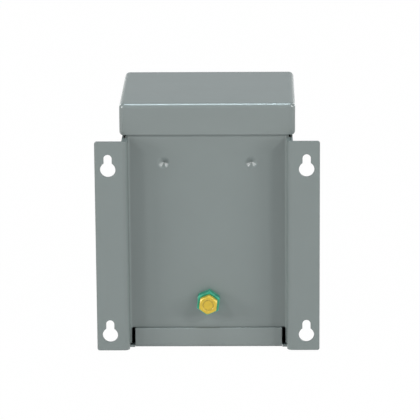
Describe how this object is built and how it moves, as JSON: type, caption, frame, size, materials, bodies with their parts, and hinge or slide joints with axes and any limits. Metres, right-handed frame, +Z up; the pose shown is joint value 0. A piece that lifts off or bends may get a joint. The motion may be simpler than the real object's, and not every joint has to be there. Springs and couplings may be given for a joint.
{
  "type": "buck boost transformer",
  "caption": "Encapsulated dry transformer in a folded grey steel case with a capping lid and side ears with keyholes for fixing to a wall.",
  "frame": {"origin": "middle of the underside, half way between the wall plane and the front screw heads", "axes": "+Z up, +Y towards the wall, +X to the right of someone who faces the front"},
  "size_m": [0.1942, 0.1518, 0.2196],
  "materials": {
    "grey_enamel": "satin enamel",
    "zinc_plate": "bright zinc plate",
    "yellow_zinc": "yellow zinc plate",
    "green_paint": "green paint",
    "copper": "bare copper",
    "fibre_board": "pressed fibre",
    "black_rubber": "matt",
    "core_steel": "varnished laminations",
    "bare_steel": "mill finish",
    "former_board": "pressboard",
    "enamelled_copper": "varnished",
    "insulation_paper": "varnished paper",
    "black_insulation": "matt",
    "red_insulation": "matt",
    "potting": "sand-filled resin"
  },
  "bodies": {
    "root": {"back_bracket": "grey_enamel", "case_wrap": "grey_enamel", "bottom_tray": "grey_enamel", "lid": "grey_enamel", "wiring_cover": "grey_enamel", "cover_screws": "zinc_plate", "lid_screws": "zinc_plate", "ground_bolt": "yellow_zinc", "ground_nut": "green_paint", "ground_star_washer": "zinc_plate", "ground_lug": "copper", "ground_inner_nut": "yellow_zinc", "lead_board": "fibre_board", "primary_bushing": "black_rubber", "secondary_bushing": "black_rubber", "e_laminations": "core_steel", "i_laminations": "core_steel", "top_front_clamp": "bare_steel", "top_rear_hanger": "bare_steel", "bottom_front_clamp": "bare_steel", "bottom_rear_clamp": "bare_steel", "core_bolts": "zinc_plate", "core_nuts": "zinc_plate", "coil_former": "former_board", "inner_primary_winding": "enamelled_copper", "inner_insulation": "insulation_paper", "outer_primary_winding": "enamelled_copper", "middle_insulation": "insulation_paper", "inner_secondary_winding": "enamelled_copper", "screen_insulation": "insulation_paper", "outer_secondary_winding": "enamelled_copper", "outer_insulation": "insulation_paper", "primary_leads": "black_insulation", "secondary_leads": "red_insulation", "potting_compound": "potting"}
  },
  "joints": []
}
